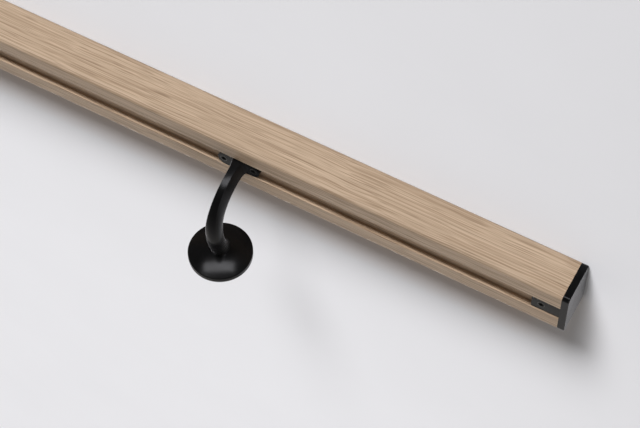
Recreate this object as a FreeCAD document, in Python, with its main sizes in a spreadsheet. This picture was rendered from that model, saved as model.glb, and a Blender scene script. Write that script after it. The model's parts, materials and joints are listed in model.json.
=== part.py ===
"""An oak wall handrail with two black brackets and black end caps.

Millimetres. X runs along the rail, Y towards the wall, Z up. The rail lies upside down on its top face,
so its grooved underside looks up and the brackets stand above it. The origin is the middle of the top face.
"""
import FreeCAD
import Part
import Sketcher
import math
import os

Vector = FreeCAD.Vector
Rotation = FreeCAD.Rotation
Placement = FreeCAD.Placement
X_AXIS = Vector(1, 0, 0)
Z_AXIS = Vector(0, 0, 1)
TOLERANCE = 1e-4

# Driving dimensions, in millimetres
SIZES = {
    "rail_length": 1500,
    "rail_depth": 55,
    "rail_height": 41,
    "rail_corner_radius": 4,
    "groove_width": 17,
    "groove_depth": 5,
    "groove_lip_radius": 0.8,
    "fitting_clearance": 0.25,
    "cap_thickness": 6.5,
    "cap_edge_chamfer": 0.6,
    "tongue_length": 26.5,
    "tongue_thickness": 4,
    "tongue_screw_distance": 17.5,
    "bracket_inset": 314,
    "flange_drop": 41.5,
    "wall_gap": 66,
    "flange_diameter": 60,
    "flange_rim": 5,
    "flange_dome": 6.5,
    "flange_edge_radius": 1,
    "anchor_hole_diameter": 8,
    "anchor_hole_depth": 10,
    "arm_root_diameter": 16,
    "arm_root_flare": 3.5,
    "arm_rise_handle": 58.8,
    "arm_run_handle": 26.6,
    "arm_dip": 8.6,
    "arm_foot_offset": 1.2,
    "arm_foot_flare": 2.2,
    "arm_top_depth": 13.4,
    "arm_top_outer_width": 6.2,
    "arm_top_inner_width": 13.4,
    "arm_top_side_radius": 60,
    "plate_length": 42,
    "plate_thickness": 4.5,
    "plate_screw_spacing": 30,
    "screw_head_diameter": 7.2,
    "screw_shank_diameter": 4,
    "screw_length": 25,
    "screw_tip_length": 4,
    "screw_socket_width": 2.5,
    "screw_socket_depth": 1.8,
    "screw_clearance": 0.1,
}

# Stations along the arm's path: the share of it, how square the section is there, and the shares of the
# foot's and the root's flare
ARM_STATIONS = (
    (0, 1, 1, 0), (0.04, 1, 0.15, 0), (0.1, 1, 0, 0), (0.28, 0.9, 0, 0), (0.46, 0.45, 0, 0),
    (0.64, 0.05, 0, 0), (0.82, 0, 0, 0), (0.92, 0, 0, 0), (1, 0, 0, 0.25), (1.09, 0, 0, 1),
)

doc = FreeCAD.newDocument("handrail")
sheet = doc.addObject("Spreadsheet::Sheet", "sizes")
for row, (alias, size) in enumerate(SIZES.items(), start=1):
    sheet.set(f"A{row}", alias)
    sheet.set(f"B{row}", str(size))
    sheet.setAlias(f"B{row}", alias)
doc.recompute()

# Lengths that follow from the driving dimensions
FITTING_WIDTH = "(sizes.groove_width - 2 * sizes.fitting_clearance)"
GROOVE_FLOOR = "(sizes.rail_height - sizes.groove_depth)"
TONGUE_TOP = f"({GROOVE_FLOOR} + sizes.tongue_thickness)"
PLATE_TOP = f"({GROOVE_FLOOR} + sizes.plate_thickness)"
WALL_Y = "(sizes.rail_depth / 2 + sizes.wall_gap)"
DOME_Y = f"({WALL_Y} - sizes.flange_rim - sizes.flange_dome)"
FLANGE_Z = "(sizes.rail_height + sizes.flange_drop)"
RAIL_END = "(sizes.rail_length / 2)"
BRACKET_X = f"({RAIL_END} - sizes.bracket_inset)"
CAP_SCREW_X = f"({RAIL_END} - sizes.tongue_screw_distance)"
PLATE_SCREW_X = "(sizes.plate_screw_spacing / 2)"
HOLE_RADIUS = "(sizes.screw_shank_diameter / 2 + sizes.screw_clearance)"


def number(formula):
    """The value of a formula in the sheet's sizes."""
    return float(sheet.evalExpression(formula.replace("sizes.", "")))


def new_body(label):
    """An empty body whose label names the sub-part."""
    body = doc.addObject("PartDesign::Body", label)
    body.Label = label
    return body


def new_sketch(body, name, role, x="0", y="0", z="0", axis=Z_AXIS, angle="0"):
    """A sketch on one of the body's origin planes, shifted and turned in that plane's own axes."""
    sketch = body.newObject("Sketcher::SketchObject", name)
    plane = next(item for item in body.Origin.OriginFeatures if item.Role == role)
    sketch.AttachmentSupport = [(plane, "")]
    sketch.MapMode = "FlatFace"
    sketch.AttachmentOffset = Placement(Vector(), Rotation(axis, 1))
    sketch.setExpression("AttachmentOffset.Base.x", x)
    sketch.setExpression("AttachmentOffset.Base.y", y)
    sketch.setExpression("AttachmentOffset.Base.z", z)
    sketch.setExpression("AttachmentOffset.Rotation.Angle", angle)
    return sketch


def bind(sketch, name, formula, kind, *where):
    """Add a dimension to a sketch and tie it to the sheet."""
    index = sketch.addConstraint(Sketcher.Constraint(kind, *where, number(formula)))
    sketch.renameConstraint(index, name)
    sketch.setExpression(f"Constraints.{name}", formula)


def relate(sketch, kind, *where):
    """Add a geometric relation to a sketch."""
    sketch.addConstraint(Sketcher.Constraint(kind, *where))


def line(sketch, start, end):
    """Add a straight line between two points."""
    sketch.addGeometry(Part.LineSegment(Vector(*start, 0), Vector(*end, 0)), False)


def arc(sketch, centre, radius, start, end):
    """Add an arc that runs anticlockwise between two angles, in radians."""
    round_curve = Part.Circle(Vector(*centre, 0), Z_AXIS, radius)
    sketch.addGeometry(Part.ArcOfCircle(round_curve, start, end), False)


def arc_between(sketch, start, end, radius):
    """Add the short arc of a given radius that runs anticlockwise from one point to another."""
    across = end[0] - start[0]
    up = end[1] - start[1]
    chord = math.hypot(across, up)
    reach = math.sqrt(radius ** 2 - (chord / 2) ** 2) / chord
    centre = ((start[0] + end[0]) / 2 - up * reach, (start[1] + end[1]) / 2 + across * reach)
    first = math.atan2(start[1] - centre[1], start[0] - centre[0])
    arc(sketch, centre, radius, first, first + 2 * math.asin(chord / 2 / radius))


def polygon(sketch, points):
    """Closed straight lines through the points, in their order."""
    count = len(points)
    for index in range(count):
        line(sketch, points[index], points[(index + 1) % count])
    for index in range(count):
        relate(sketch, "Coincident", index, 2, (index + 1) % count, 1)


def rectangle(sketch, width, height):
    """A rectangle about the sketch's origin."""
    half_x = number(width) / 2
    half_y = number(height) / 2
    polygon(sketch, ((-half_x, -half_y), (half_x, -half_y), (half_x, half_y), (-half_x, half_y)))
    for side in (0, 2):
        relate(sketch, "Horizontal", side)
    for side in (1, 3):
        relate(sketch, "Vertical", side)
    relate(sketch, "Symmetric", 0, 1, 1, 2, -1, 1)
    bind(sketch, "wide", width, "DistanceX", 0, 1, 0, 2)
    bind(sketch, "high", height, "DistanceY", 1, 1, 1, 2)


def circle(sketch, radius):
    """A circle about the sketch's origin."""
    sketch.addGeometry(Part.Circle(Vector(), Z_AXIS, number(radius)), False)
    relate(sketch, "Coincident", 0, 3, -1, 1)
    bind(sketch, "round", radius, "Radius", 0)


def hexagon(sketch, across_flats):
    """A hexagon about the sketch's origin, with one corner on the first axis."""
    reach = number(across_flats) / math.sqrt(3)
    turns = [math.radians(60 * step) for step in range(6)]
    polygon(sketch, [(reach * math.cos(turn), reach * math.sin(turn)) for turn in turns])
    sketch.addGeometry(Part.Circle(Vector(), Z_AXIS, reach), True)
    for side in range(6):
        relate(sketch, "PointOnObject", side, 1, 6)
    for side in range(1, 6):
        relate(sketch, "Equal", 0, side)
    relate(sketch, "Coincident", 6, 3, -1, 1)
    relate(sketch, "PointOnObject", 0, 1, -1)
    bind(sketch, "reach", f"{across_flats} / sqrt(3)", "Radius", 6)


def obround(sketch, length, width):
    """A slot shape about the sketch's origin, round at both ends."""
    radius = number(width) / 2
    reach = number(length) / 2 - radius
    line(sketch, (-reach, -radius), (reach, -radius))
    arc(sketch, (reach, 0), radius, -math.pi / 2, math.pi / 2)
    line(sketch, (reach, radius), (-reach, radius))
    arc(sketch, (-reach, 0), radius, math.pi / 2, 3 * math.pi / 2)
    for side in range(4):
        relate(sketch, "Tangent", side, 2, (side + 1) % 4, 1)
    relate(sketch, "Symmetric", 1, 3, 3, 3, -1, 1)
    relate(sketch, "Horizontal", 0)
    bind(sketch, "between", f"{length} - {width}", "DistanceX", 3, 3, 1, 3)
    bind(sketch, "end_radius", f"{width} / 2", "Radius", 1)


def countersunk(sketch, head_radius, shank_radius, length, tip=None):
    """Half the outline of a countersunk screw or its hole, turned about the sketch's second axis."""
    head = number(head_radius)
    shank = number(shank_radius)
    deep = number(length)
    taper = number(tip) if tip else 0
    polygon(sketch, ((0, 0), (0, -deep), (shank, taper - deep), (shank, shank - head), (head, 0)))
    relate(sketch, "Coincident", 0, 1, -1, 1)
    relate(sketch, "Vertical", 0)
    relate(sketch, "Vertical", 2)
    relate(sketch, "Horizontal", 4)
    bind(sketch, "length", length, "DistanceY", 0, 2, 0, 1)
    bind(sketch, "shank", shank_radius, "DistanceX", 1, 1, 1, 2)
    bind(sketch, "head", head_radius, "DistanceX", 4, 2, 4, 1)
    bind(sketch, "sink", f"{head_radius} - {shank_radius}", "DistanceY", 3, 1, 3, 2)
    if tip:
        bind(sketch, "taper", tip, "DistanceY", 1, 1, 1, 2)
    else:
        relate(sketch, "Horizontal", 1)


def arm_section(sketch, square, grow):
    """Four arcs: at square = 1 a trapezoid, narrow on the outside of the bend, and at 0 a circle."""
    def blend(top, root):
        return f"({square} * {top} + {round(1 - square, 3)} * {root})"

    root_radius = f"(sizes.arm_root_diameter / 2 + {grow})"
    root_corner = f"({root_radius} * sqrt(0.5))"
    outer_half = blend(f"(sizes.arm_top_outer_width / 2 + {grow})", root_corner)
    inner_half = blend(f"(sizes.arm_top_inner_width / 2 + {grow})", root_corner)
    half_depth = blend("(sizes.arm_top_depth / 2)", root_corner)
    bulge = f"(1 / {blend('1 / sizes.arm_top_side_radius', '1 / ' + root_radius)})"

    out_x = number(outer_half)
    in_x = number(inner_half)
    half = number(half_depth)
    corners = ((-out_x, -half), (out_x, -half), (in_x, half), (-in_x, half))
    for side in range(4):
        arc_between(sketch, corners[side], corners[(side + 1) % 4], number(bulge))
    for side in range(4):
        relate(sketch, "Coincident", side, 2, (side + 1) % 4, 1)
    relate(sketch, "Symmetric", 0, 1, 0, 2, -2)
    relate(sketch, "Symmetric", 2, 1, 2, 2, -2)
    for side in range(1, 4):
        relate(sketch, "Equal", 0, side)
    bind(sketch, "bulge", bulge, "Radius", 0)
    bind(sketch, "outer_side", half_depth, "DistanceY", 0, 1, -1, 1)
    bind(sketch, "inner_side", half_depth, "DistanceY", -1, 1, 2, 1)
    bind(sketch, "outer_width", f"2 * {outer_half}", "DistanceX", 0, 1, 0, 2)
    bind(sketch, "inner_width", f"2 * {inner_half}", "DistanceX", 2, 2, 2, 1)


def flange_profile(sketch):
    """Half the outline of the flange, from the wall to the top of its dome, turned about the first axis."""
    dome_radius = ("((sizes.flange_diameter / 2) ^ 2 + sizes.flange_dome ^ 2)"
                   " / (2 * sizes.flange_dome)")
    radius = number("sizes.flange_diameter / 2")
    apex = number("sizes.flange_rim + sizes.flange_dome")
    dome = number(dome_radius)
    edge = number("sizes.flange_edge_radius")
    edge_angle = math.asin((radius - edge) / (dome - edge))
    edge_x = apex - dome + (dome - edge) * math.cos(edge_angle)
    line(sketch, (0, 0), (0, radius))
    line(sketch, (0, radius), (edge_x, radius))
    arc(sketch, (edge_x, radius - edge), edge, edge_angle, math.pi / 2)
    arc(sketch, (apex - dome, 0), dome, 0, edge_angle)
    line(sketch, (apex, 0), (0, 0))
    relate(sketch, "Coincident", 0, 2, 1, 1)
    relate(sketch, "Tangent", 1, 2, 2, 2)
    relate(sketch, "Tangent", 2, 1, 3, 2)
    relate(sketch, "Coincident", 3, 1, 4, 1)
    relate(sketch, "Coincident", 4, 2, 0, 1)
    relate(sketch, "Coincident", 0, 1, -1, 1)
    relate(sketch, "Vertical", 0)
    relate(sketch, "Horizontal", 1)
    relate(sketch, "Horizontal", 4)
    relate(sketch, "PointOnObject", 3, 3, -1)
    bind(sketch, "flange_radius", "sizes.flange_diameter / 2", "DistanceY", 0, 1, 0, 2)
    bind(sketch, "edge_radius", "sizes.flange_edge_radius", "Radius", 2)
    bind(sketch, "dome_radius", dome_radius, "Radius", 3)
    bind(sketch, "apex", "sizes.flange_rim + sizes.flange_dome", "DistanceX", 4, 2, 4, 1)


def pad(body, sketch, length, both_ways=False, backwards=False):
    """Raise a sketch into a solid."""
    feature = body.newObject("PartDesign::Pad", sketch.Name + "_pad")
    feature.Profile = sketch
    feature.SideType = "Symmetric" if both_ways else "One side"
    feature.Reversed = backwards
    feature.setExpression("Length", length)
    doc.recompute()
    return feature


def cut(body, sketch, kind, **settings):
    """Cut a sketch out of the body as a Pocket or a Groove, and make sure that it removed something."""
    before = body.Shape.Volume
    feature = body.newObject("PartDesign::" + kind, sketch.Name + "_cut")
    feature.Profile = sketch
    length = settings.pop("Length", None)
    for name, setting in settings.items():
        setattr(feature, name, setting)
    if length:
        feature.setExpression("Length", length)
    doc.recompute()
    if body.Shape.Volume >= before - TOLERANCE:
        raise ValueError(feature.Name + " cut nothing")
    return feature


def fillet(body, name, radius, chosen):
    """Round the edges of the body's last feature that the test picks."""
    dress(body, name, "Fillet", chosen).setExpression("Radius", radius)
    doc.recompute()


def chamfer(body, name, size, chosen):
    """Bevel the edges of the body's last feature that the test picks."""
    dress(body, name, "Chamfer", chosen).setExpression("Size", size)
    doc.recompute()


def dress(body, name, kind, chosen):
    """Add a feature that works on the picked edges of the body's last one."""
    base = body.Tip
    edges = [f"Edge{index}" for index, edge in enumerate(base.Shape.Edges, start=1) if chosen(edge)]
    feature = body.newObject("PartDesign::" + kind, name)
    feature.Base = (base, edges)
    return feature


def runs_along_x(edge):
    """Whether an edge is a straight line along the rail."""
    box = edge.BoundBox
    return box.XLength > TOLERANCE and max(box.YLength, box.ZLength) < TOLERANCE


def near(value, target):
    """Whether two lengths agree."""
    return abs(value - target) < TOLERANCE


def make_rail():
    """The oak length: its section, the groove along its underside and the screws' pilot holes."""
    body = new_body("handrail")
    section = new_sketch(body, "rail_section", "YZ_Plane", y="sizes.rail_height / 2")
    rectangle(section, "sizes.rail_depth", "sizes.rail_height")
    pad(body, section, "sizes.rail_length", both_ways=True)
    fillet(body, "rail_arrises", "sizes.rail_corner_radius", runs_along_x)

    groove = new_sketch(body, "groove", "YZ_Plane", y="sizes.rail_height - sizes.groove_depth / 2")
    rectangle(groove, "sizes.groove_width", "sizes.groove_depth")
    cut(body, groove, "Pocket", SideType="Symmetric", Length="sizes.rail_length")
    lip_y = number("sizes.groove_width / 2")
    lip_z = number("sizes.rail_height")
    fillet(body, "groove_lips", "sizes.groove_lip_radius", lambda edge: (
        runs_along_x(edge) and near(abs(edge.BoundBox.YMin), lip_y) and near(edge.BoundBox.ZMin, lip_z)))

    plate_pilot = "sizes.screw_length - sizes.plate_thickness + sizes.screw_clearance"
    tongue_pilot = "sizes.screw_length - sizes.tongue_thickness + sizes.screw_clearance"
    pilots = [(x, plate_pilot) for x, name in bracket_screws()]
    pilots += [(x, tongue_pilot) for x, name in cap_screws()]
    for index, (x, deep) in enumerate(pilots, start=1):
        pilot = new_sketch(body, f"pilot_{index}", "XY_Plane", x=x, z=GROOVE_FLOOR)
        circle(pilot, HOLE_RADIUS)
        cut(body, pilot, "Pocket", Length=deep)
    return body


def screw_hole(body, name, x, top, thickness):
    """A countersunk hole down through a plate."""
    hole = new_sketch(body, name, "XZ_Plane", x=x, y=top)
    head = "(sizes.screw_head_diameter / 2 + sizes.screw_clearance)"
    countersunk(hole, head, HOLE_RADIUS, f"({thickness} + sizes.screw_clearance)")
    cut(body, hole, "Groove", ReferenceAxis=(hole, ["V_Axis"]), Angle=360)


def make_cap(label, x, turn):
    """An end cap: a plate with the rail's outline, and the tongue that lies in the groove."""
    body = new_body(label)
    outline = new_sketch(body, label + "_outline", "YZ_Plane", y="sizes.rail_height / 2")
    rectangle(outline, "sizes.rail_depth", "sizes.rail_height")
    pad(body, outline, "sizes.cap_thickness", backwards=True)
    fillet(body, label + "_corners", "sizes.rail_corner_radius", runs_along_x)
    outer_x = -number("sizes.cap_thickness")
    chamfer(body, label + "_edge", "sizes.cap_edge_chamfer", lambda edge: (
        near(edge.BoundBox.XMin, outer_x) and near(edge.BoundBox.XMax, outer_x)))

    tongue = new_sketch(body, label + "_tongue", "YZ_Plane", y=f"{GROOVE_FLOOR} + sizes.tongue_thickness / 2")
    rectangle(tongue, FITTING_WIDTH, "sizes.tongue_thickness")
    pad(body, tongue, "sizes.tongue_length")
    screw_hole(body, label + "_hole", "sizes.tongue_screw_distance", TONGUE_TOP, "sizes.tongue_thickness")
    body.Placement = Placement(Vector(), Rotation(Z_AXIS, turn))
    body.setExpression("Placement.Base.x", x)
    return body


def weighted(weights, terms):
    """The formula of a weighted sum."""
    return " + ".join(f"({weight:.5f}) * {term}" for weight, term in zip(weights, terms))


def arm_stations():
    """Where the arm's sections stand: place across and up, angle from upright, squareness and flare.

    The path is a Bezier curve that rises from the plate and bends over to the dome.
    """
    foot = "(-sizes.arm_foot_offset)"
    across = (foot, foot, f"({DOME_Y} - sizes.arm_run_handle)", DOME_Y)
    up = (PLATE_TOP, f"({PLATE_TOP} + sizes.arm_rise_handle)", f"({FLANGE_Z} + sizes.arm_dip)", FLANGE_Z)
    stations = []
    for share, square, foot_share, root_share in ARM_STATIONS:
        rest = 1 - share
        place = (rest ** 3, 3 * share * rest ** 2, 3 * share ** 2 * rest, share ** 3)
        slope = (-rest ** 2, rest ** 2 - 2 * share * rest, 2 * share * rest - share ** 2, share ** 2)
        angle = f"-atan2({weighted(slope, across)}; {weighted(slope, up)})"
        flare = f"({foot_share} * sizes.arm_foot_flare + {root_share} * sizes.arm_root_flare)"
        stations.append((weighted(place, across), weighted(place, up), angle, square, flare))
    return stations


def make_bracket(label, x):
    """A wall bracket, cast in one: domed flange, curved arm and the saddle plate in the groove."""
    body = new_body(label)
    profile = new_sketch(body, label + "_flange", "YZ_Plane", x=WALL_Y, y=FLANGE_Z, angle="180")
    flange_profile(profile)
    flange = body.newObject("PartDesign::Revolution", label + "_dome")
    flange.Profile = profile
    flange.ReferenceAxis = (profile, ["H_Axis"])
    flange.Angle = 360
    doc.recompute()

    sections = []
    for index, (y, z, angle, square, grow) in enumerate(arm_stations(), start=1):
        section = new_sketch(body, f"{label}_arm_{index}", "XY_Plane", y=y, z=z, axis=X_AXIS, angle=angle)
        arm_section(section, square, grow)
        sections.append(section)
    arm = body.newObject("PartDesign::AdditiveLoft", label + "_arm")
    arm.Profile = sections[0]
    arm.Sections = sections[1:]
    doc.recompute()

    saddle = new_sketch(body, label + "_plate", "XY_Plane", z=GROOVE_FLOOR)
    obround(saddle, "sizes.plate_length", FITTING_WIDTH)
    pad(body, saddle, "sizes.plate_thickness")
    for side, place in (("left", f"-{PLATE_SCREW_X}"), ("right", PLATE_SCREW_X)):
        screw_hole(body, f"{label}_{side}_hole", place, PLATE_TOP, "sizes.plate_thickness")
    anchor = new_sketch(body, label + "_anchor", "XZ_Plane", y=FLANGE_Z, z=f"-{WALL_Y}")
    circle(anchor, "sizes.anchor_hole_diameter / 2")
    cut(body, anchor, "Pocket", Reversed=True, Length="sizes.anchor_hole_depth")
    body.setExpression("Placement.Base.x", x)
    return body


def make_screw(label, x, top):
    """A countersunk screw with a hexagonal socket in its head."""
    body = new_body(label)
    profile = new_sketch(body, label + "_profile", "XZ_Plane")
    countersunk(profile, "sizes.screw_head_diameter / 2", "sizes.screw_shank_diameter / 2",
                "sizes.screw_length", "sizes.screw_tip_length")
    turned = body.newObject("PartDesign::Revolution", label + "_turned")
    turned.Profile = profile
    turned.ReferenceAxis = (profile, ["V_Axis"])
    turned.Angle = 360
    doc.recompute()
    socket = new_sketch(body, label + "_socket", "XY_Plane")
    hexagon(socket, "sizes.screw_socket_width")
    cut(body, socket, "Pocket", Length="sizes.screw_socket_depth")
    body.setExpression("Placement.Base.x", x)
    body.setExpression("Placement.Base.z", top)
    return body


def bracket_screws():
    """Place along the rail and name of each screw that holds a bracket."""
    centres = (f"-{BRACKET_X}", BRACKET_X)
    places = [f"{centre} {sign} {PLATE_SCREW_X}" for centre in centres for sign in "-+"]
    return [(place, f"bracket_screw_{index}") for index, place in enumerate(places, start=1)]


def cap_screws():
    """Place along the rail and name of each screw that holds an end cap."""
    return [(f"-{CAP_SCREW_X}", "cap_screw_left"), (CAP_SCREW_X, "cap_screw_right")]


parts = [make_rail()]
parts.append(make_cap("end_cap_left", f"-{RAIL_END}", 0))
parts.append(make_cap("end_cap_right", RAIL_END, 180))
parts.append(make_bracket("wall_bracket_left", f"-{BRACKET_X}"))
parts.append(make_bracket("wall_bracket_right", BRACKET_X))
parts += [make_screw(name, x, PLATE_TOP) for x, name in bracket_screws()]
parts += [make_screw(name, x, TONGUE_TOP) for x, name in cap_screws()]

doc.recompute()
for item in doc.Objects:
    if "Invalid" in item.State or "Error" in item.State:
        raise ValueError(f"{item.Name} failed: {item.State}")
for part in parts:
    if part.Shape.isNull() or not part.Shape.isValid() or len(part.Shape.Solids) != 1:
        raise ValueError(part.Label + " is not one valid solid")

os.makedirs("parts", exist_ok=True)
for part in parts:
    part.Shape.exportStep(f"parts/{part.Label}.step")
    box = part.Shape.BoundBox
    print(part.Label, round(part.Shape.Volume), "mm3", [round(v, 2) for v in (
        box.XMin, box.XMax, box.YMin, box.YMax, box.ZMin, box.ZMax)])
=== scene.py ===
"""The look of an oak wall handrail with black brackets and end caps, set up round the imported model.

Metres, in the model's own frame: X along the rail, Y towards the wall, Z up out of the rail's underside.
"""
import bpy
import json
import math
from mathutils import Matrix, Quaternion, Vector

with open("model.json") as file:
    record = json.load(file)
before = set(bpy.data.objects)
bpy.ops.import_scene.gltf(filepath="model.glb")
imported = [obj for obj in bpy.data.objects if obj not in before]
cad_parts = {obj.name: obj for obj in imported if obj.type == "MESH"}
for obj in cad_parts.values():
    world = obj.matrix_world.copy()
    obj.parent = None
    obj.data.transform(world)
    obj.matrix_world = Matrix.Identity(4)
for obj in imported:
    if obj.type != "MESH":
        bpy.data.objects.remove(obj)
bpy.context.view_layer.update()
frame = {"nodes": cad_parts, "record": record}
nodes = frame["nodes"]
scene = bpy.context.scene
scene.view_settings.view_transform = "Standard"

# The photograph's camera
IMAGE_WIDTH = 640
SENSOR_WIDTH_MM = 36
FOCAL_PIXELS = 2049.7
CAMERA_PLACE = Vector((-0.9839, -1.5407, 0.8376))
CAMERA_LOOK = Vector((0.2569, 0.8606, -0.4397))
CAMERA_UP = Vector((0.4073, -0.5090, -0.7583))

# In all materials, colours are linear, waves are per metre along X, Y and Z, and a span is the stretch of a
# noise or of a length over which a look changes
RISE = (0, 1)
FALL = (1, 0)
NOISE_MIDDLE = (0.5, 0.5, 0.5)

# Oak
OAK_LIGHT = (0.66, 0.505, 0.375, 1)
OAK_MIDDLE = (0.58, 0.437, 0.318, 1)
OAK_DARK = (0.36, 0.245, 0.160, 1)
OAK_PORE = (0.24, 0.155, 0.095, 1)
FIBRE_DARK = (0.86, 0.85, 0.83, 1)
FIBRE_LIGHT = (1.10, 1.10, 1.10, 1)
SWAY_WAVES = (9, 10, 10)
SWAY_REACH = (0, 0.005, 0.005)
BAND_WAVES = (1.5, 80, 90)
BAND_SPAN = (0.25, 0.75)
LINE_WAVES = (4.5, 1060, 1120)
LINE_SPAN = (0.54, 0.36)
LINE_SHARE = (0, 0.62)
FIBRE_WAVES = (14, 1500, 1600)
FIBRE_SPAN = (0.32, 0.66)
PORE_WAVES = (22, 900, 960)
PORE_SPAN = (0.60, 0.72)
PORE_SHARE = (0, 0.6)
PORE_DIP_SPAN = (0.58, 0.74)
OAK_ROUGHNESS_SPAN = (0.2, 0.8)
OAK_ROUGHNESS = (0.64, 0.50)
OAK_GLOSS = 0.3

# Black coat, duller on the brackets than on the caps
COAT_BLACK = (0.004, 0.004, 0.0043, 1)
COAT_WORN = (0.007, 0.007, 0.0074, 1)
COAT_TINT = (0.92, 0.93, 1.0, 1)
PEEL_WAVES = (900, 900, 900)
CLOUD_WAVES = (60, 60, 60)
GRIT_WAVES = (3200, 3200, 3200)
WORN_SPAN = (0.30, 0.80)
COAT_ROUGHNESS_SPAN = (0.25, 0.75)
COAT_ROUGHNESS = (0.16, 0.24)
CAP_GLOSS = 0.17
BRACKET_GLOSS = 0.10
SHEEN = 0.24
SHEEN_ROUGHNESS = 0.32

# Screws, with places on the head as shares of its radius
SCREW_BLACK = (0.05, 0.05, 0.052, 1)
SCREW_WORN = (0.16, 0.16, 0.163, 1)
# Painted shade in and round the socket
SOCKET_PAINTED_SHADE = (0.008, 0.008, 0.008, 1)
HEAD_MIDDLE = (0.5, 0.5, 0)
HEAD_SCALE = (2, 2, 0)
PAINTED_SHADE_EDGE_SPAN = (0.68, 0.78)
RUB_WAVES = (700, 700, 700)
RUB_SPAN = (0.45, 0.72)
SCREW_ROUGHNESS = (0.75, 0.34)
SCREW_METAL = 0.7

# Floor: a painted falloff of light dims it towards the ends, painted warm shade browns it close behind the
# rail, and in front of the rail painted shade darkens it in mirrored rays and in the light that it gives back
FLOOR_SIZE = 14
FLOOR_PALE = (0.60, 0.60, 0.624, 1)
FLOOR_PAINTED_WARM_SHADE = (0.95, 0.84, 0.76, 1)
FLOOR_PAINTED_DARK_REFLECTION = (0.15, 0.15, 0.15, 1)
FLOOR_PAINTED_BOUNCE_SHADE = (0.15, 0.15, 0.15, 1)
FLOOR_PAINTED_FALLOFF = (0.80, 0.80, 0.80, 1)
MOTTLE_DARK = (0.985, 0.985, 0.985, 1)
MOTTLE_LIGHT = (1, 1, 1, 1)
MOTTLE_WAVES = (9, 9, 9)
MOTTLE_SPAN = (0.3, 0.7)
GRAIN_WAVES = (1400, 1400, 1400)
PAINTED_FALLOFF_SPAN = (0.5, 1.8)
PAINTED_SHADE_START_SPAN = (0, 0.02)
PAINTED_SHADE_END_SPAN = (0.105, 0.155)
PAINTED_SHADE_SIDE_SPAN = (0.70, 0.7565)
PAINTED_REFLECTION_SPAN = (-0.045, -0.029)
PAINTED_BOUNCE_SHADE_SPAN = (-0.02, 0)
# Painted glow: none in front of the rail, most further behind it
PAINTED_GLOW_SPAN = (-0.05, 0.45)
PAINTED_GLOW = (0, 0.11)

# Room
SKY_COLOUR = (1.0, 0.96, 0.91, 1)
BACKDROP_PALE = (0.71, 0.71, 0.73, 1)
GLOW_SPAN = (-0.2, 1)
GLOW = (0.09, 0.70)

# Lamps. They point at the part of the rail that the photograph shows, and the roll lays the gleam level in it
TARGET = Vector((-0.50, 0.0, 0.04))
LAMP_COLOUR = (1.0, 0.985, 0.96)
GLEAM_ROLL_DEGREES = 28.8

# Suns for the floor, side by side. One of them draws the brackets' shadow
SUN_ACROSS = (0.07, 0.11, 0.15, 0.19, 0.23)
SUN_BACK = -0.95
SUN_UP = 0.295
SUN_STRENGTH = 2.1
SUN_DEGREES = 14
BRACKET_SUN = 2


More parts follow.
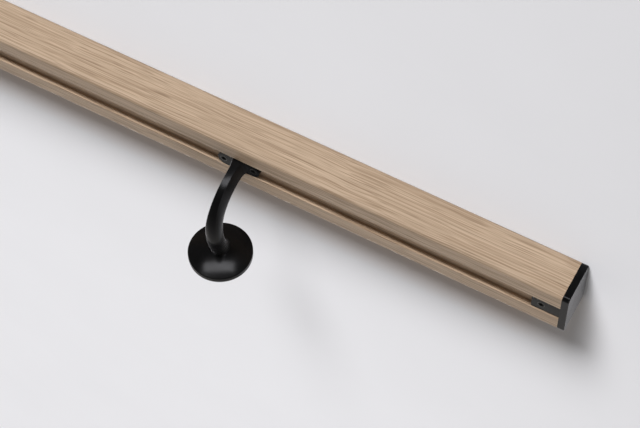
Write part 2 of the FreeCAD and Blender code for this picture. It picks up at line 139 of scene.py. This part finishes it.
class Nodes:
    """Builds the node tree of one material or world."""

    def __init__(self, owner, output="OutputMaterial"):
        self.owner = owner
        owner.use_nodes = True
        self.tree = owner.node_tree
        self.tree.nodes.clear()
        self.output = self.add(output)

    def add(self, kind, **settings):
        """Add a node and set its properties."""
        node = self.tree.nodes.new("ShaderNode" + kind)
        for name, setting in settings.items():
            setattr(node, name, setting)
        return node

    def link(self, source, target):
        """Join an output socket to an input socket."""
        self.tree.links.new(source, target)

    def place(self, scale, base=None):
        """A place, by default the surface's own in the model, stretched along each axis."""
        mapping = self.add("Mapping")
        mapping.inputs["Scale"].default_value = scale
        self.link(base or self.add("TexCoord").outputs["Object"], mapping.inputs["Vector"])
        return mapping.outputs["Vector"]

    def wavy(self, scale, reach):
        """The surface's place, shifted by slow waves of a given reach along each axis."""
        waves = self.add("TexNoise")
        waves.inputs["Scale"].default_value = 1
        self.link(self.place(scale), waves.inputs["Vector"])
        level = self.vector("SUBTRACT", waves.outputs["Color"], NOISE_MIDDLE)
        shift = self.vector("MULTIPLY_ADD", level.outputs["Vector"], reach)
        self.link(self.add("TexCoord").outputs["Object"], shift.inputs[2])
        return shift.outputs["Vector"]

    def noise(self, scale, detail=2.0, roughness=0.5, base=None):
        """Noise of a given number of waves per metre along each axis."""
        texture = self.add("TexNoise")
        texture.inputs["Scale"].default_value = 1
        texture.inputs["Detail"].default_value = detail
        texture.inputs["Roughness"].default_value = roughness
        self.link(self.place(scale, base), texture.inputs["Vector"])
        return texture.outputs["Fac"]

    def ramp(self, source, span, first, second):
        """A colour that goes from the first to the second over a span of the factor."""
        node = self.add("ValToRGB")
        for element, place, colour in zip(node.color_ramp.elements, span, (first, second)):
            element.position = place
            element.color = colour
        self.link(source, node.inputs["Fac"])
        return node.outputs["Color"]

    def spread(self, source, span, reach):
        """A factor that goes over its own reach within a span of another."""
        node = self.add("MapRange")
        for name, value in zip(("From Min", "From Max", "To Min", "To Max"), (*span, *reach)):
            node.inputs[name].default_value = value
        self.link(source, node.inputs["Value"])
        return node.outputs["Result"]

    def mix(self, factor, first, second, blend="MIX"):
        """Two colours mixed. The factor and the colours are values or sockets."""
        node = self.add("Mix", data_type="RGBA", blend_type=blend)
        for socket, value in ((node.inputs[0], factor), (node.inputs[6], first), (node.inputs[7], second)):
            if isinstance(value, bpy.types.NodeSocket):
                self.link(value, socket)
            else:
                socket.default_value = value
        return node.outputs[2]

    def calculate(self, operation, first, second=None):
        """A number worked out from one or two others."""
        node = self.add("Math", operation=operation)
        self.link(first, node.inputs[0])
        if second:
            self.link(second, node.inputs[1])
        return node.outputs["Value"]

    def vector(self, operation, first, second=None):
        """A node that works on a vector, with a second vector that is the same all over."""
        node = self.add("VectorMath", operation=operation)
        if second:
            node.inputs[1].default_value = second
        self.link(first, node.inputs[0])
        return node

    def bump(self, height, strength, distance, below=None):
        """A normal from a height, on top of another bump's."""
        node = self.add("Bump")
        node.inputs["Strength"].default_value = strength
        node.inputs["Distance"].default_value = distance
        self.link(height, node.inputs["Height"])
        if below:
            self.link(below, node.inputs["Normal"])
        return node.outputs["Normal"]

    def surface(self, colour, roughness, normal, **constants):
        """Finish with a principled shader."""
        shader = self.add("BsdfPrincipled")
        for name, value in constants.items():
            shader.inputs[name.replace("_", " ")].default_value = value
        self.link(colour, shader.inputs["Base Color"])
        self.link(roughness, shader.inputs["Roughness"])
        self.link(normal, shader.inputs["Normal"])
        self.link(shader.outputs["BSDF"], self.output.inputs["Surface"])
        return self.owner


def make_oak():
    """Straight-grained oak: bands of growth, fine lines, fibres and short open pores, all along the rail."""
    oak = Nodes(bpy.data.materials.new("oak"))
    grain = oak.wavy(SWAY_WAVES, SWAY_REACH)
    bands = oak.noise(BAND_WAVES, base=grain)
    lines = oak.noise(LINE_WAVES, detail=0.5, base=grain)
    fibres = oak.noise(FIBRE_WAVES, detail=1, roughness=0.6, base=grain)
    pores = oak.noise(PORE_WAVES, detail=1, roughness=0.6, base=grain)

    colour = oak.ramp(bands, BAND_SPAN, OAK_MIDDLE, OAK_LIGHT)
    colour = oak.mix(oak.spread(lines, LINE_SPAN, LINE_SHARE), colour, OAK_DARK)
    tone = oak.ramp(fibres, FIBRE_SPAN, FIBRE_DARK, FIBRE_LIGHT)
    colour = oak.mix(1.0, colour, tone, "MULTIPLY")
    colour = oak.mix(oak.spread(pores, PORE_SPAN, PORE_SHARE), colour, OAK_PORE)

    roughness = oak.spread(fibres, OAK_ROUGHNESS_SPAN, OAK_ROUGHNESS)
    fine = oak.bump(fibres, strength=0.12, distance=0.0003)
    dips = oak.spread(pores, PORE_DIP_SPAN, FALL)
    normal = oak.bump(dips, strength=0.25, distance=0.0003, below=fine)
    return oak.surface(colour, roughness, normal, Specular_IOR_Level=OAK_GLOSS)


def make_coat(name, gloss):
    """Satin black powder coat: a fine orange peel, with roughness that varies a little."""
    coat = Nodes(bpy.data.materials.new(name))
    peel = coat.noise(PEEL_WAVES)
    cloud = coat.noise(CLOUD_WAVES, detail=3, roughness=0.6)
    grit = coat.noise(GRIT_WAVES, detail=1)
    colour = coat.ramp(cloud, WORN_SPAN, COAT_BLACK, COAT_WORN)
    roughness = coat.spread(cloud, COAT_ROUGHNESS_SPAN, COAT_ROUGHNESS)
    wide = coat.bump(peel, strength=0.05, distance=0.0002)
    normal = coat.bump(grit, strength=0.04, distance=0.0001, below=wide)
    return coat.surface(colour, roughness, normal, Specular_IOR_Level=gloss, Specular_Tint=COAT_TINT,
                        Sheen_Weight=SHEEN, Sheen_Roughness=SHEEN_ROUGHNESS, Sheen_Tint=COAT_TINT)


def make_screw():
    """Blackened screws with painted shade in and round the socket, and rubbed a little paler in places
    outside it.
    """
    screw = Nodes(bpy.data.materials.new("black_screw"))
    rub = screw.noise(RUB_WAVES, detail=3, roughness=0.7)
    middle = screw.vector("SUBTRACT", screw.add("TexCoord").outputs["Generated"], HEAD_MIDDLE)
    flat = screw.vector("MULTIPLY", middle.outputs["Vector"], HEAD_SCALE)
    radius = screw.vector("LENGTH", flat.outputs["Vector"])
    # Painted shade: the middle of the head, in and round the socket, is coloured near black
    beyond_painted_shade = screw.spread(radius.outputs["Value"], PAINTED_SHADE_EDGE_SPAN, RISE)
    colour = screw.ramp(rub, RUB_SPAN, SCREW_BLACK, SCREW_WORN)
    colour = screw.mix(beyond_painted_shade, SOCKET_PAINTED_SHADE, colour)
    roughness = screw.spread(beyond_painted_shade, RISE, SCREW_ROUGHNESS)
    normal = screw.bump(rub, strength=0.12, distance=0.0002)
    return screw.surface(colour, roughness, normal, Metallic=SCREW_METAL)


def make_floor():
    """A pale floor with painted light and shade, and a painted glow for the camera and in reflections, which
    keeps the shadow.
    """
    pale = Nodes(bpy.data.materials.new("pale_floor"))
    mottle = pale.noise(MOTTLE_WAVES, detail=4)
    grain = pale.noise(GRAIN_WAVES, detail=1)
    tint = pale.ramp(mottle, MOTTLE_SPAN, MOTTLE_DARK, MOTTLE_LIGHT)
    colour = pale.mix(1.0, FLOOR_PALE, tint, "MULTIPLY")
    axes = pale.add("SeparateXYZ")
    pale.link(pale.place((1, 1, 1)), axes.inputs["Vector"])
    along = pale.calculate("ABSOLUTE", axes.outputs["X"])
    across = axes.outputs["Y"]
    # Painted falloff of light: the floor's colour darkens towards both ends, as if the light were a pool
    # round the middle
    colour = pale.mix(pale.spread(along, PAINTED_FALLOFF_SPAN, RISE), colour, FLOOR_PAINTED_FALLOFF, "MULTIPLY")

    # Painted warm shade: close behind the rail and along its length the floor's colour is browned, standing
    # in for light bounced off the oak into the rail's shadow
    behind = pale.spread(across, PAINTED_SHADE_START_SPAN, RISE)
    near = pale.spread(across, PAINTED_SHADE_END_SPAN, FALL)
    beside = pale.spread(along, PAINTED_SHADE_SIDE_SPAN, FALL)
    painted_warm_shade = pale.calculate("MULTIPLY", pale.calculate("MULTIPLY", behind, near), beside)
    colour = pale.mix(painted_warm_shade, colour, FLOOR_PAINTED_WARM_SHADE, "MULTIPLY")

    rays = pale.add("LightPath")
    # Painted dark reflection: in front of the rail the floor is darkened in mirrored rays only, so the black
    # coat mirrors a dark room there
    front = pale.spread(across, PAINTED_REFLECTION_SPAN, FALL)
    painted_dark_reflection = pale.calculate("MULTIPLY", front, rays.outputs["Is Glossy Ray"])
    colour = pale.mix(painted_dark_reflection, colour, FLOOR_PAINTED_DARK_REFLECTION, "MULTIPLY")
    # Painted shade: right in front of the rail the floor is darkened in the light it gives back, which lays a
    # dark line of shade along the rail's foot
    before = pale.spread(across, PAINTED_BOUNCE_SHADE_SPAN, FALL)
    painted_bounce_shade = pale.calculate("MULTIPLY", before, rays.outputs["Is Diffuse Ray"])
    colour = pale.mix(painted_bounce_shade, colour, FLOOR_PAINTED_BOUNCE_SHADE, "MULTIPLY")

    shader = pale.add("BsdfDiffuse")
    pale.link(colour, shader.inputs["Color"])
    pale.link(pale.bump(grain, strength=0.04, distance=0.0002), shader.inputs["Normal"])
    seen = pale.calculate("MAXIMUM", rays.outputs["Is Camera Ray"], rays.outputs["Is Glossy Ray"])
    seen = pale.calculate("MAXIMUM", seen, rays.outputs["Is Transmission Ray"])
    # Painted glow: the floor glows for the camera and in reflections, more the further it lies behind the
    # rail
    painted_glow = pale.spread(across, PAINTED_GLOW_SPAN, PAINTED_GLOW)
    glow = pale.add("Emission")
    pale.link(colour, glow.inputs["Color"])
    pale.link(pale.calculate("MULTIPLY", seen, painted_glow), glow.inputs["Strength"])
    both = pale.add("AddShader")
    pale.link(shader.outputs["BSDF"], both.inputs[0])
    pale.link(glow.outputs["Emission"], both.inputs[1])
    pale.link(both.outputs["Shader"], pale.output.inputs["Surface"])
    return pale.owner


def collect(name, members, leave_out=False):
    """A collection for a lamp: the members alone, or everything but them."""
    collection = bpy.data.collections.new(name)
    for member in members:
        collection.objects.link(member)
    if leave_out:
        for item in collection.collection_objects:
            item.light_linking.link_state = "EXCLUDE"
    return collection


def add_lamp(name, direction, distance, width, height, power, lit, roll=0, shading=None):
    """A soft rectangular lamp that points at the target, lights one collection and is blocked by another."""
    data = bpy.data.lights.new(name, "AREA")
    data.shape = "RECTANGLE"
    data.size = width
    data.size_y = height
    data.energy = power
    data.color = LAMP_COLOUR
    lamp = bpy.data.objects.new(name, data)
    lamp.location = TARGET + Vector(direction).normalized() * distance
    facing = (TARGET - lamp.location).to_track_quat("-Z", "Y")
    lamp.rotation_euler = (facing @ Quaternion((0, 0, 1), math.radians(roll))).to_euler()
    lamp.light_linking.receiver_collection = lit
    lamp.light_linking.blocker_collection = shading
    scene.collection.objects.link(lamp)


def add_sun(name, across, lit, shading):
    """An even soft light from afar that lights one collection and is blocked by another."""
    data = bpy.data.lights.new(name, "SUN")
    data.energy = SUN_STRENGTH
    data.angle = math.radians(SUN_DEGREES)
    sun = bpy.data.objects.new(name, data)
    direction = Vector((across, SUN_BACK, SUN_UP))
    sun.rotation_euler = (-direction).to_track_quat("-Z", "Y").to_euler()
    sun.light_linking.receiver_collection = lit
    sun.light_linking.blocker_collection = shading
    scene.collection.objects.link(sun)


def add_world():
    """A dim room, brighter on the wall side, with a pale backdrop that the camera alone sees."""
    world = bpy.data.worlds.new("studio")
    room = Nodes(world, "OutputWorld")
    axes = room.add("SeparateXYZ")
    room.link(room.add("TexCoord").outputs["Generated"], axes.inputs["Vector"])
    sky = room.add("Background")
    sky.inputs["Color"].default_value = SKY_COLOUR
    room.link(room.spread(axes.outputs["Y"], GLOW_SPAN, GLOW), sky.inputs["Strength"])
    backdrop = room.add("Background")
    backdrop.inputs["Color"].default_value = BACKDROP_PALE
    choice = room.add("MixShader")
    room.link(room.add("LightPath").outputs["Is Camera Ray"], choice.inputs[0])
    room.link(sky.outputs["Background"], choice.inputs[1])
    room.link(backdrop.outputs["Background"], choice.inputs[2])
    room.link(choice.outputs["Shader"], room.output.inputs["Surface"])
    scene.world = world


def add_camera():
    """The camera at the photograph's place, with its image the photograph's way up."""
    data = bpy.data.cameras.new("camera")
    data.sensor_width = SENSOR_WIDTH_MM
    data.lens = FOCAL_PIXELS * SENSOR_WIDTH_MM / IMAGE_WIDTH
    look = CAMERA_LOOK.normalized()
    right = look.cross(CAMERA_UP).normalized()
    up = right.cross(look)
    camera = bpy.data.objects.new("camera", data)
    turn = Matrix((right, up, -look)).transposed()
    camera.matrix_world = Matrix.Translation(CAMERA_PLACE) @ turn.to_4x4()
    scene.collection.objects.link(camera)
    scene.camera = camera


def add_floor():
    """The floor that the rail lies on."""
    mesh = bpy.data.meshes.new("floor")
    half = FLOOR_SIZE / 2
    corners = [(-half, -half, 0), (half, -half, 0), (half, half, 0), (-half, half, 0)]
    mesh.from_pydata(corners, [], [(0, 1, 2, 3)])
    floor = bpy.data.objects.new("floor", mesh)
    mesh.materials.append(make_floor())
    scene.collection.objects.link(floor)
    return floor


# Materials
slot_materials = {
    "oak": make_oak(),
    "black_coat": make_coat("black_coat", CAP_GLOSS),
    "black_screw": make_screw(),
}
bracket_coat = make_coat("bracket_coat", BRACKET_GLOSS)
brackets = []
others = []
for part in frame["record"]["subparts"]:
    piece = nodes[part["node"]]
    material = slot_materials[part["material_slot"]]
    if part["node"].startswith("wall_bracket"):
        material = bracket_coat
        brackets.append(piece)
    else:
        others.append(piece)
    piece.data.materials.clear()
    piece.data.materials.append(material)
    piece.data.shade_smooth()

# Room and floor
add_world()
floor = add_floor()

# What each lamp lights, and what blocks it
floor_only = collect("floor_only", [floor])
all_but_floor = collect("all_but_floor", [floor], leave_out=True)
rail_only = collect("rail_only", [nodes["handrail"]])
brackets_only = collect("brackets_only", brackets)
all_but_brackets = collect("all_but_brackets", brackets, leave_out=True)
rail_and_caps = collect("rail_and_caps", others)

# The front lamp lights all but the brackets, which mirror a lamp of their own that the floor doesn't block
add_lamp("front", direction=(0.20, -0.97, 0.095), distance=3.2, width=5.0, height=0.55, power=112,
         lit=rail_and_caps)
add_lamp("gleam", direction=(0.08, -0.995, 0.07), distance=3.0, width=2.5, height=0.80, power=90,
         lit=brackets_only, roll=GLEAM_ROLL_DEGREES, shading=all_but_floor)
add_lamp("back", direction=(-0.60, 0.66, 0.45), distance=3.0, width=2.6, height=1.9, power=20, lit=rail_only)
add_lamp("wall", direction=(0.35, 0.93, 0.08), distance=3.2, width=4.0, height=0.4, power=35, lit=rail_only)
for number, across in enumerate(SUN_ACROSS):
    shading = None if number == BRACKET_SUN else all_but_brackets
    add_sun(f"floor_{number}", across, floor_only, shading)
add_camera()
